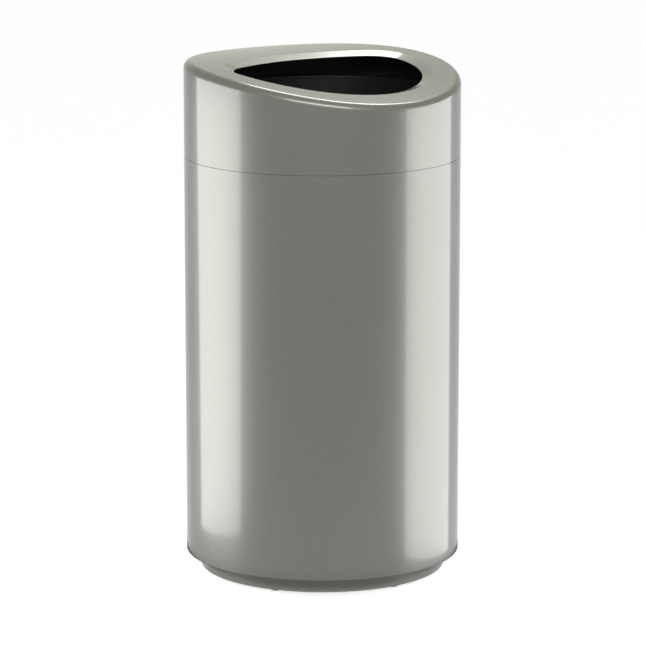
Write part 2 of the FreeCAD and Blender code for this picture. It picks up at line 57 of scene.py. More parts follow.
SHORTEST_HELD_RUN = 4 * HOLD
WELD = 1e-7
NEGLIGIBLE = 1e-6
STRAIGHT_ANGLE = math.radians(1)
SHARP_ANGLE = math.radians(32)
LOG = logging.getLogger("trash_can")

Place = tuple[float, float, float]
Setting = float | int | Material
Sockets = Mapping[str, NodeSocket]


class RidesOn(Enum):
    """The bodies that pieces move with."""

    CAN = "can"
    LINER = "liner"
    LID = "lid"


class Slot(Enum):
    """The record's material slots."""

    SILVER_PAINT = "silver_paint"
    BLACK_PAINT = "black_paint"
    ZINC_STEEL = "zinc_steel"
    BLACK_RUBBER = "black_rubber"
    BLACK_PLASTIC = "black_plastic"


class Coat(Enum):
    """Which of a sheet's two coats a face carries."""

    OUTSIDE = 0
    INSIDE = 1


class Socket(Enum):
    """Kinds of node group socket."""

    GEOMETRY = "NodeSocketGeometry"
    VECTOR = "NodeSocketVector"
    FLOAT = "NodeSocketFloat"
    INTEGER = "NodeSocketInt"
    MATERIAL = "NodeSocketMaterial"


RING_INPUTS = (
    ("Geometry", Socket.GEOMETRY, None), ("Count", Socket.INTEGER, 6), ("Ring Radius", Socket.FLOAT, 0.2),
    ("First Angle", Socket.FLOAT, 0.0), ("Level", Socket.FLOAT, 0.0), ("Material", Socket.MATERIAL, None))


@dataclass(frozen=True)
class Corner:
    """One corner of a turned section.

    Attributes:
        radius: Distance from the axis that the section turns about.
        level: Height above the floor, or above the foot of a small piece that is copied.
        bend: Radius of the rounding at this corner.
        coat: Coat on the stretch that starts at this corner.
    """

    radius: float
    level: float
    bend: float = 0.25 * MM
    coat: Coat = Coat.OUTSIDE


@dataclass(frozen=True)
class SectionPoint:
    """One point of a rounded section, with the coat on the stretch that starts there."""

    radius: float
    level: float
    coat: Coat


class NodeBench:
    """Adds and links the nodes of one tree."""

    def __init__(self, tree: NodeTree) -> None:
        """Keep the tree that is worked on.

        Args:
            tree: A shader or geometry node tree.
        """
        self.tree = tree

    @classmethod
    def for_group(cls, name: str, kind: str, inputs: Iterable[tuple[str, Socket, object]],
                  outputs: Iterable[tuple[str, Socket]]) -> "NodeBench":
        """Start a new node group with named sockets.

        Args:
            name: Name of the group.
            kind: Blender's name for the kind of tree.
            inputs: Name, kind and default of each input; None leaves the default.
            outputs: Name and kind of each output.

        Returns:
            A bench on the empty group.
        """
        tree = bpy.data.node_groups.new(name, kind)
        for label, socket, default in inputs:
            made = tree.interface.new_socket(name=label, in_out="INPUT", socket_type=socket.value)
            if default is not None:
                made.default_value = default
        for label, socket in outputs:
            tree.interface.new_socket(name=label, in_out="OUTPUT", socket_type=socket.value)
        return cls(tree)

    def add(self, kind: str, wires: Mapping[str | int, object] | None = None,
            **settings: object) -> Node:
        """Add a node, set its properties and feed its inputs.

        Args:
            kind: Blender's name for the node.
            wires: A socket or a plain value for each input, by the input's name or number.
            settings: Properties of the node.

        Returns:
            The new node.
        """
        node = self.tree.nodes.new(kind)
        for key, value in settings.items():
            setattr(node, key, value)
        for key, value in (wires or {}).items():
            self.feed(value, node.inputs[key])
        return node

    def math(self, operation: str, first: object, second: object = 0.0) -> NodeSocket:
        """Work out one value from two numbers or sockets."""
        return self.add("ShaderNodeMath", {0: first, 1: second}, operation=operation).outputs[0]

    def mirrored(self, path: Node) -> NodeSocket:
        """Pick the rays of a Light Path node that come by way of gloss or through glass."""
        return self.math("MAXIMUM", path.outputs["Is Glossy Ray"], path.outputs["Is Transmission Ray"])

    def feed(self, value: object, socket: NodeSocket) -> None:
        """Link a socket to an input, or set the input's own value.

        Args:
            value: A socket, or a plain value.
            socket: The input that takes it.
        """
        if isinstance(value, NodeSocket):
            self.tree.links.new(value, socket)
        else:
            socket.default_value = value


def fine_grain_group() -> NodeTree:
    """Speckle and slow unevenness of a coat or a moulding.

    Returns:
        A shader group whose outputs are masks from 0 to 1.
    """
    bench = NodeBench.for_group(
        "fine_grain", "ShaderNodeTree",
        [("Vector", Socket.VECTOR, None), ("Speck Scale", Socket.FLOAT, 1500.0),
         ("Drift Scale", Socket.FLOAT, 5.0)],
        [("Specks", Socket.FLOAT), ("Drift", Socket.FLOAT)])
    entry = bench.add("NodeGroupInput").outputs
    specks = bench.add("ShaderNodeTexVoronoi", {"Vector": entry["Vector"], "Scale": entry["Speck Scale"]},
                       feature="F1")
    tint = bench.add("ShaderNodeSeparateColor", {"Color": specks.outputs["Color"]})
    drift = bench.add("ShaderNodeTexNoise", {"Vector": entry["Vector"], "Scale": entry["Drift Scale"],
                                             "Detail": 3.0})
    bench.add("NodeGroupOutput", {"Specks": tint.outputs["Red"], "Drift": drift.outputs["Fac"]})
    return bench.tree


def skin_ripple_group() -> NodeTree:
    """Low ripple of a sprayed or moulded skin.

    Returns:
        A shader group that puts out a height from 0 to 1.
    """
    bench = NodeBench.for_group(
        "skin_ripple", "ShaderNodeTree",
        [("Vector", Socket.VECTOR, None), ("Ripple Scale", Socket.FLOAT, 260.0),
         ("Grit Scale", Socket.FLOAT, 1400.0), ("Grit Share", Socket.FLOAT, 0.2)],
        [("Height", Socket.FLOAT)])
    entry = bench.add("NodeGroupInput").outputs
    ripple, grit = [
        bench.add("ShaderNodeTexNoise", {"Vector": entry["Vector"], "Scale": entry[scale], "Detail": detail})
        for scale, detail in (("Ripple Scale", 1.0), ("Grit Scale", 2.0))]
    blend = bench.add("ShaderNodeMix", {"Factor": entry["Grit Share"], "A": ripple.outputs["Fac"],
                                        "B": grit.outputs["Fac"]}, data_type="FLOAT")
    bench.add("NodeGroupOutput", {"Height": blend.outputs["Result"]})
    return bench.tree


@dataclass(frozen=True)
class Finish:
    """A surface with speckle, slow unevenness and a low ripple.

    Attributes:
        name: Name of the material.
        dark: Colour of the darker specks, linear.
        light: Colour of the lighter specks, linear.
        metallic: Share of metal.
        roughness: Least and most roughness.
        coat: Weight of the clear coat.
        coat_roughness: Roughness of the clear coat.
        speck_scale: Specks per metre.
        drift_scale: Slow patches per metre.
        ripple_scale: Ripples per metre.
        grit_share: Share of fine grit in the ripple.
        ripple_height: Height of the ripple.
        specular: Strength of the surface's own gloss.
        edge_tint: How bright its gloss is at a glancing angle.
    """

    name: str
    dark: tuple[float, float, float]
    light: tuple[float, float, float]
    metallic: float = 0.0
    roughness: tuple[float, float] = (0.4, 0.5)
    coat: float = 0.0
    coat_roughness: float = 0.03
    speck_scale: float = 1500.0
    drift_scale: float = 5.0
    ripple_scale: float = 260.0
    grit_share: float = 0.2
    ripple_height: float = 0.02 * MM
    specular: float = 0.5
    edge_tint: float = 1.0

    def material(self, grain: NodeTree, ripple: NodeTree) -> Material:
        """Build the material.

        Args:
            grain: The shared group of speckle and unevenness.
            ripple: The shared group of ripple.

        Returns:
            A node material on Object coordinates.
        """
        material = bpy.data.materials.new(self.name)
        material.use_nodes = True
        material.diffuse_color = (*self.light, 1.0)
        bench = NodeBench(material.node_tree)
        shader = bench.tree.nodes["Principled BSDF"]
        spot = bench.add("ShaderNodeTexCoord").outputs["Object"]

        specks = bench.add("ShaderNodeGroup", node_tree=grain, wires={
            "Vector": spot, "Speck Scale": self.speck_scale, "Drift Scale": self.drift_scale})
        colour = bench.add("ShaderNodeMix", data_type="RGBA", wires={
            "A": (*self.dark, 1.0), "B": (*self.light, 1.0), "Factor": specks.outputs["Specks"]})
        gloss = bench.add("ShaderNodeMapRange", {
            "Value": specks.outputs["Drift"], "To Min": self.roughness[0], "To Max": self.roughness[1]})
        waves = bench.add("ShaderNodeGroup", node_tree=ripple, wires={
            "Vector": spot, "Ripple Scale": self.ripple_scale, "Grit Share": self.grit_share})
        bump = bench.add("ShaderNodeBump", {
            "Distance": self.ripple_height, "Height": waves.outputs["Height"]})

        bench.feed(colour.outputs["Result"], shader.inputs["Base Color"])
        bench.feed(gloss.outputs["Result"], shader.inputs["Roughness"])
        bench.feed(bump.outputs["Normal"], shader.inputs["Normal"])
        shader.inputs["Metallic"].default_value = self.metallic
        shader.inputs["Coat Weight"].default_value = self.coat
        shader.inputs["Coat Roughness"].default_value = self.coat_roughness
        shader.inputs["Specular IOR Level"].default_value = self.specular
        shader.inputs["Specular Tint"].default_value = (self.edge_tint,) * 3 + (1.0,)
        return material


class FinishShelf:
    """All finishes of the can, each made once."""

    def __init__(self) -> None:
        """Build the shared groups and the materials."""
        grain = fine_grain_group()
        ripple = skin_ripple_group()
        self.silver = Finish(
            "silver_metallic_paint", dark=(0.147, 0.148, 0.134), light=(0.195, 0.196, 0.178),
            metallic=0.9, roughness=(0.37, 0.42), coat=0.88, coat_roughness=0.12,
            speck_scale=1800.0, edge_tint=0.3).material(grain, ripple)
        self.black = Finish(
            "satin_black_paint", dark=(0.006, 0.006, 0.006), light=(0.009, 0.009, 0.009),
            roughness=(0.42, 0.52), ripple_height=0.03 * MM, specular=0.3).material(grain, ripple)
        self.zinc = Finish(
            "zinc_plate", dark=(0.42, 0.43, 0.45), light=(0.62, 0.63, 0.64), metallic=1.0,
            roughness=(0.24, 0.38), speck_scale=900.0, drift_scale=90.0,
            grit_share=0.6).material(grain, ripple)
        self.rubber = Finish(
            "black_rubber", dark=(0.012, 0.012, 0.012), light=(0.020, 0.020, 0.019),
            roughness=(0.68, 0.80), ripple_scale=700.0, grit_share=0.7,
            ripple_height=0.05 * MM).material(grain, ripple)
        self.plastic = Finish(
            "black_moulded_plastic", dark=(0.011, 0.011, 0.011), light=(0.016, 0.016, 0.016),
            roughness=(0.30, 0.40), ripple_scale=180.0, grit_share=0.5,
            ripple_height=0.04 * MM).material(grain, ripple)


def corner_arc(before: Vector, place: Vector, after: Vector, bend: float) -> list[Vector]:
    """Round one corner of a section.

    Args:
        before: The corner before it.
        place: The corner.
        after: The corner after it.
        bend: Radius of the rounding.

    Returns:
        The points of the arc, or the corner alone where the section hardly turns.
    """
    towards = (place - before).normalized()
    onwards = (after - place).normalized()
    turn = towards.angle_signed(onwards, 0.0)
    if abs(turn) < STRAIGHT_ANGLE or bend <= 0:
        return [place]
    setback = bend * math.tan(abs(turn) / 2)
    first = place - towards * setback
    side = Vector((-towards.y, towards.x)) * (-1 if turn > 0 else 1)
    centre = first + side * bend
    spoke = first - centre
    steps = max(2, round(abs(turn) / (math.pi / 2) * ARC_STEPS))
    arc = []
    for step in range(steps + 1):
        angle = -turn * step / steps
        cosine, sine = math.cos(angle), math.sin(angle)
        arc.append(centre + Vector((spoke.x * cosine - spoke.y * sine, spoke.x * sine + spoke.y * cosine)))
    return arc


def rounded_section(corners: Sequence[Corner], closed: bool) -> list[SectionPoint]:
    """Round the corners of a section and hold its straight stretches flat.

    Args:
        corners: The corners in order.
        closed: Whether the last corner joins the first.

    Returns:
        The points of the rounded section in order.
    """
    count = len(corners)
    places = [Vector((corner.radius, corner.level)) for corner in corners]
    arcs = []
    for index, corner in enumerate(corners):
        if not closed and index in (0, count - 1):
            arcs.append([places[index]])
        else:
            following = places[(index + 1) % count]
            arcs.append(corner_arc(places[index - 1], places[index], following, corner.bend))

    points: list[SectionPoint] = []
    for index, arc in enumerate(arcs):
        coat = corners[index].coat
        previous = corners[index - 1].coat
        middle = len(arc) // 2
        for step, place in enumerate(arc):
            points.append(SectionPoint(place.x, place.y, previous if step < middle else coat))
        if not closed and index == count - 1:
            break
        start = arc[-1]
        end = arcs[(index + 1) % count][0]
        run = end - start
        if run.length > SHORTEST_HELD_RUN:
            for held in (start + run.normalized() * HOLD, end - run.normalized() * HOLD):
                points.append(SectionPoint(held.x, held.y, coat))
    return points


def join_rows(sheet: bmesh.types.BMesh, rows: Sequence[list[bmesh.types.BMVert]],
              coats: Sequence[Coat], closed: bool) -> None:
    """Fill the faces between rows that run round the axis; a row of one vertex is a pole.

    Args:
        sheet: The mesh being made.
        rows: Vertices of each row.
        coats: Coat on the faces that start at each row.
        closed: Whether the last row joins the first.
    """
    pairs = len(rows) if closed else len(rows) - 1
    for index in range(pairs):
        low = rows[index]
        high = rows[(index + 1) % len(rows)]
        around = max(len(low), len(high))
        for column in range(around):
            following = (column + 1) % around
            ring = [low[column % len(low)], low[following % len(low)],
                    high[following % len(high)], high[column % len(high)]]
            face = sheet.faces.new(list(dict.fromkeys(ring)))
            face.material_index = coats[index].value
            face.smooth = True


def shaped(name: str, rows: Iterable[Sequence[Vector]], coats: Sequence[Coat],
           closed: bool = True) -> Object:
    """Make a piece from rows of points that run round the axis, and put it in the scene.

    Args:
        name: Name of the piece.
        rows: The points, as many in each row, or one where the row is a pole.
        coats: Coat on the faces that start at each row.
        closed: Whether the last row joins the first.

    Returns:
        The new piece at the origin, with its faces turned outwards.
    """
    sheet = bmesh.new()
    made = [[sheet.verts.new(point) for point in row] for row in rows]
    join_rows(sheet, made, coats, closed)
    bmesh.ops.remove_doubles(sheet, verts=sheet.verts[:], dist=WELD)
    bmesh.ops.recalc_face_normals(sheet, faces=sheet.faces[:])
    mesh = bpy.data.meshes.new(name)
    sheet.to_mesh(mesh)
    sheet.free()
    mesh.set_sharp_from_angle(angle=SHARP_ANGLE)
    piece = bpy.data.objects.new(name, mesh)
    bpy.context.scene.collection.objects.link(piece)
    return piece


def polar(radius: float, angle: float, level: float) -> Vector:
    """Point at a distance from the axis, an angle about it and a height."""
    return Vector((radius * math.cos(angle), radius * math.sin(angle), level))


def angles_round(columns: int) -> list[float]:
    """Angles of columns spaced evenly about the axis."""
    return [2 * math.pi * column / columns for column in range(columns)]


def turned(name: str, corners: Sequence[Corner], closed: bool = True,
           columns: int = COLUMNS) -> Object:
    """Turn a rounded section about Z.

    Args:
        name: Name of the piece.
        corners: The section's corners.
        closed: Whether the section is a loop; otherwise it starts and ends on the axis.
        columns: Points round the axis.

    Returns:
        The turned piece.
    """
    section = rounded_section(corners, closed)
    rows = []
    for point in section:
        angles = angles_round(1 if point.radius < NEGLIGIBLE else columns)
        rows.append([polar(point.radius, angle, point.level) for angle in angles])
    return shaped(name, rows, [point.coat for point in section], closed)


def flat_ring(name: str, radii: tuple[float, float], levels: tuple[float, float], soft: float,
              columns: int = COLUMNS) -> Object:
    """Turn a flat ring with softened edges.

    Args:
        name: Name of the piece.
        radii: Inner and outer radius.
        levels: Lower and upper level.
        soft: Radius of its edges.
        columns: Points round the axis.

    Returns:
        The ring.
    """
    inner, outer = radii
    low, top = levels
    around = ((inner, low), (outer, low), (outer, top), (inner, top))
    return turned(name, [Corner(radius, level, soft) for radius, level in around], columns=columns)


def ring_of(bench: NodeBench, entry: Sockets, item: NodeSocket) -> NodeSocket:
    """Stand copies of an item evenly about Z, each turned with its place.

    Args:
        bench: The geometry tree that is worked on.
        entry: The tree's inputs, with the ring's count, radius, first angle and level.
        item: What is copied.

    Returns:
        The copies.
    """
    step = bench.math("DIVIDE", 2 * math.pi, entry["Count"])
    index = bench.add("GeometryNodeInputIndex").outputs[0]
    angle = bench.math("ADD", bench.math("MULTIPLY", index, step), entry["First Angle"])
    place = bench.add("ShaderNodeCombineXYZ", {
        "X": bench.math("MULTIPLY", bench.math("COSINE", angle), entry["Ring Radius"]),
        "Y": bench.math("MULTIPLY", bench.math("SINE", angle), entry["Ring Radius"]),
        "Z": entry["Level"]})
    points = bench.add("GeometryNodePoints", {"Count": entry["Count"], "Position": place.outputs[0]})
    turn = bench.add("ShaderNodeCombineXYZ", {"Z": angle})
    copies = bench.add("GeometryNodeInstanceOnPoints", {
        "Points": points.outputs[0], "Instance": item, "Rotation": turn.outputs[0]})
    return copies.outputs[0]


def cut_away(bench: NodeBench, solid: NodeSocket, tool: NodeSocket) -> NodeSocket:
    """Cut a tool, or all copies of it, out of a solid.

    Args:
        bench: The geometry tree that is worked on.
        solid: What is cut.
        tool: What is taken away.

    Returns:
        What is left.
    """
    whole = bench.add("GeometryNodeRealizeInstances", {0: tool})
    cut = bench.add("GeometryNodeMeshBoolean", {"Mesh 1": solid, "Mesh 2": whole.outputs[0]},
                    operation="DIFFERENCE", solver="EXACT")
    return cut.outputs["Mesh"]


def close_tree(bench: NodeBench, geometry: NodeSocket,
               material: NodeSocket) -> NodeTree:
    """End a geometry tree in plain faces with their material.

    Args:
        bench: The geometry tree that is worked on.
        geometry: What the tree has made.
        material: The material's socket.

    Returns:
        The finished tree.
    """
    realise = bench.add("GeometryNodeRealizeInstances", {0: geometry})
    coated = bench.add("GeometryNodeSetMaterial", {"Geometry": realise.outputs[0], "Material": material})
    bench.add("NodeGroupOutput", {"Geometry": coated.outputs[0]})
    return bench.tree


def ring_of_copies_tree() -> NodeTree:
    """A tree that sets copies of a small piece evenly about the axis of the can.

    Returns:
        A geometry node group.
    """
    bench = NodeBench.for_group("ring_of_copies", "GeometryNodeTree", RING_INPUTS,
                                [("Geometry", Socket.GEOMETRY)])
    entry = bench.add("NodeGroupInput").outputs
    return close_tree(bench, ring_of(bench, entry, entry["Geometry"]), entry["Material"])


def ring_of_holes_tree() -> NodeTree:
    """A tree that drills round holes evenly about the axis of the can.

    Returns:
        A geometry node group.
    """
    bench = NodeBench.for_group(
        "ring_of_holes", "GeometryNodeTree",
        [*RING_INPUTS, ("Hole Radius", Socket.FLOAT, 0.003), ("Hole Depth", Socket.FLOAT, 0.004)],
        [("Geometry", Socket.GEOMETRY)])
    entry = bench.add("NodeGroupInput").outputs
    drill = bench.add("GeometryNodeMeshCylinder", {
        "Vertices": DRILL_SIDES, "Radius": entry["Hole Radius"], "Depth": entry["Hole Depth"]})
    drills = ring_of(bench, entry, drill.outputs["Mesh"])
    return close_tree(bench, cut_away(bench, entry["Geometry"], drills), entry["Material"])


def hand_slots_tree() -> NodeTree:
    """A tree that cuts a slot with round corners through both sides of the liner.

    Returns:
        A geometry node group.
    """
    bench = NodeBench.for_group(
        "hand_slots", "GeometryNodeTree",
        [("Geometry", Socket.GEOMETRY, None), ("Length", Socket.FLOAT, 0.11),
         ("Height", Socket.FLOAT, 0.034), ("Corner", Socket.FLOAT, 0.014),
         ("Level", Socket.FLOAT, 0.84), ("Reach", Socket.FLOAT, 0.3),
         ("Material", Socket.MATERIAL, None)],
        [("Geometry", Socket.GEOMETRY)])
    entry = bench.add("NodeGroupInput").outputs
    shape = bench.add("GeometryNodeCurvePrimitiveQuadrilateral", {
        "Width": entry["Length"], "Height": entry["Height"]})
    fillet = bench.add("GeometryNodeFilletCurve", mode="POLY", wires={
        "Curve": shape.outputs[0], "Count": SLOT_CORNER_STEPS, "Radius": entry["Corner"]})
    ends = []
    for way in (-1.0, 1.0):
        across = bench.math("MULTIPLY", entry["Reach"], way)
        ends.append(bench.add("ShaderNodeCombineXYZ", {"X": across, "Z": entry["Level"]}).outputs[0])
    path = bench.add("GeometryNodeCurvePrimitiveLine", {"Start": ends[0], "End": ends[1]})
    prism = bench.add("GeometryNodeCurveToMesh", {
        "Curve": path.outputs[0], "Profile Curve": fillet.outputs[0], "Fill Caps": True})
    return close_tree(bench, cut_away(bench, entry["Geometry"], prism.outputs[0]), entry["Material"])


def run_tree(piece: Object, tree: NodeTree, **values: Setting) -> Object:
    """Run a geometry tree on a piece and keep the result as its plain mesh.

    Args:
        piece: The piece that the tree starts from.
        tree: The geometry tree.
        values: Its named inputs, with underscores for spaces.

    Returns:
        The same piece.
    """
    modifier = piece.modifiers.new(tree.name, "NODES")
    modifier.node_group = tree
    wanted = {key.replace("_", " "): value for key, value in values.items()}
    for item in tree.interface.items_tree:
        if item.item_type == "SOCKET" and item.in_out == "INPUT" and item.name in wanted:
            modifier[item.identifier] = wanted[item.name]
    graph = bpy.context.evaluated_depsgraph_get()
    result = piece.evaluated_get(graph)
    mesh = bpy.data.meshes.new_from_object(result, preserve_all_data_layers=True, depsgraph=graph)
    piece.modifiers.remove(modifier)
    start = piece.data
    piece.data = mesh
    bpy.data.meshes.remove(start)
    mesh.name = piece.name
    mesh.shade_smooth()
    mesh.set_sharp_from_angle(angle=SHARP_ANGLE)
    return piece


def paint(piece: Object, *materials: Material) -> None:
    """Give a piece its materials, one for each coat.

    Args:
        piece: The piece.
        materials: The outside coat, then the inside coat where there is one.
    """
    for material in materials:
        piece.data.materials.append(material)


def place(piece: Object, rides_on: RidesOn, slot: Slot, *nodes: str) -> Object:
    """Set a piece on its body in place of its nodes.

    Args:
        piece: The finished piece.
        rides_on: The body that it moves with.
        slot: The record's material slot; it is not used.
        nodes: The nodes that it stands for.

    Returns:
        The same piece.
    """
    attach(piece, rides_on.value)
    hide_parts(*nodes)
    return piece


def arc_between(first: Vector, last: Vector, share: float) -> Vector:
    """Turn one unit vector towards another.

    Args:
        first: Where the turn starts.
        last: Where it ends.
        share: How far along the turn, from 0 to 1.

    Returns:
        The unit vector at that share.
    """
    angle = first.angle(last)
    if angle < NEGLIGIBLE:
        return first.copy()
    return (first * math.sin((1 - share) * angle) + last * math.sin(share * angle)) / math.sin(angle)


@dataclass
class Assembly:
    """Pieces that are made together, and the finishes that they take."""

    shelf: FinishShelf

    def build(self) -> list[Object]:
        """Make all pieces of the assembly."""
        raise NotImplementedError


@dataclass
class CanBody(Assembly):
    """Rolled shell, bottom pan, locating collar and gasket."""

    outside: float = 254.0 * MM
    gauge: float = 1.5 * MM
    foot: float = 31.0 * MM
    seam: float = 772.6 * MM
    foot_bend: float = 2.5 * MM
    foot_corner: float = 1.0 * MM
    seam_bend: float = 2.0 * MM
    seam_corner: float = 0.25 * MM
    foot_inner: float = 229.0 * MM
    seam_inner: float = 242.5 * MM
    pan_fit: float = 0.1 * MM
    pan_bend: float = 5.0 * MM
    pan_rim: float = 20.0 * MM
    bead_start: float = 209.0 * MM
    bead_width: float = 16.0 * MM
    bead_height: float = 6.0 * MM
    bead_bend: float = 3.0 * MM
    collar_outside: float = 240.5 * MM
    collar_fit: float = 0.3 * MM
    collar_rise: float = 18.0 * MM
    collar_edge: float = 0.5 * MM
    gasket_outside: float = 251.5 * MM
    gasket_width: float = 7.0 * MM
    gasket_thickness: float = 0.5 * MM
    gasket_edge: float = 0.1 * MM

    @property
    def inside(self) -> float:
        """Inner radius of the shell."""
        return self.outside - self.gauge

    @property
    def pan_underside(self) -> float:
        """Level of the pan's lower face."""
        return self.foot + self.gauge

    def shell(self) -> Object:
        """Make the rolled shell, turned in at its foot and at its top edge.

        Returns:
            The shell, silver outside and black inside, with its black coat also under the turned-in foot as
            painted shade.
        """
        dark = Coat.INSIDE
        piece = turned("shell", [
            # The underside of the turned-in foot takes the black coat as painted shade, which darkens the
            # plinth under the overhang.
            Corner(self.foot_inner, self.foot, coat=dark),
            Corner(self.outside, self.foot, self.foot_corner),
            Corner(self.outside, self.seam, self.seam_corner),
            Corner(self.seam_inner, self.seam),
            Corner(self.seam_inner, self.seam - self.gauge, coat=dark),
            Corner(self.inside, self.seam - self.gauge, self.seam_bend - self.gauge, dark),
            Corner(self.inside, self.pan_underside, self.foot_bend - self.gauge, dark),
            Corner(self.foot_inner, self.pan_underside, coat=dark),
        ])
        paint(piece, self.shelf.silver, self.shelf.black)
        return place(piece, RidesOn.CAN, Slot.SILVER_PAINT, "body_shell")

    def pan(self) -> Object:
        """Make the pressed floor with its upturned rim and its bead.

        Returns:
            The pan.
        """
        low = self.pan_underside
        top = low + self.gauge
        rim = self.inside - self.pan_fit
        rim_top = low + self.pan_rim
        rise = self.bead_height
        start = self.bead_start
        end = start + self.bead_width
        soft = self.bead_bend
        piece = turned("pan", [
            Corner(0.0, low),
            Corner(start, low, soft + self.gauge),
            Corner(start + rise, low + rise, soft),
            Corner(end - rise, low + rise, soft),
            Corner(end, low, soft),
            Corner(rim, low, self.pan_bend),
            Corner(rim, rim_top),
            Corner(rim - self.gauge, rim_top),
            Corner(rim - self.gauge, top, self.pan_bend - self.gauge),
            Corner(end, top, soft),
            Corner(end - rise, top + rise, soft),
            Corner(start + rise, top + rise, soft),
            Corner(start, top, soft),
            Corner(0.0, top),
        ], closed=False)
        paint(piece, self.shelf.black)
        return place(piece, RidesOn.CAN, Slot.BLACK_PAINT, "bottom_pan")

    def collar(self) -> Object:
        """Make the angle ring that keeps the lid in place.

        Returns:
            The collar.
        """
        inner = self.collar_outside - self.gauge
        leg = self.inside - self.collar_fit
        leg_top = self.seam - self.gauge
        leg_low = leg_top - self.gauge
        top = self.seam + self.collar_rise
        piece = turned("collar", [
            Corner(inner, leg_low, self.seam_bend),
            Corner(leg, leg_low),
            Corner(leg, leg_top),
            Corner(self.collar_outside, leg_top, self.seam_bend - self.gauge),
            Corner(self.collar_outside, top, self.collar_edge),
            Corner(inner, top, self.collar_edge),
        ])
        paint(piece, self.shelf.black)
        return place(piece, RidesOn.CAN, Slot.BLACK_PAINT, "locating_collar")

    def gasket(self) -> Object:
        """Make the rubber strip that the lid stands on.

        Returns:
            The gasket.
        """
        radii = (self.gasket_outside - self.gasket_width, self.gasket_outside)
        piece = flat_ring("gasket", radii, (self.seam, self.seam + self.gasket_thickness), self.gasket_edge)
        paint(piece, self.shelf.rubber)
        return place(piece, RidesOn.CAN, Slot.BLACK_RUBBER, "lid_gasket")

    def build(self) -> list[Object]:
        """Make all pieces of the body."""
        return [self.shell(), self.pan(), self.collar(), self.gasket()]


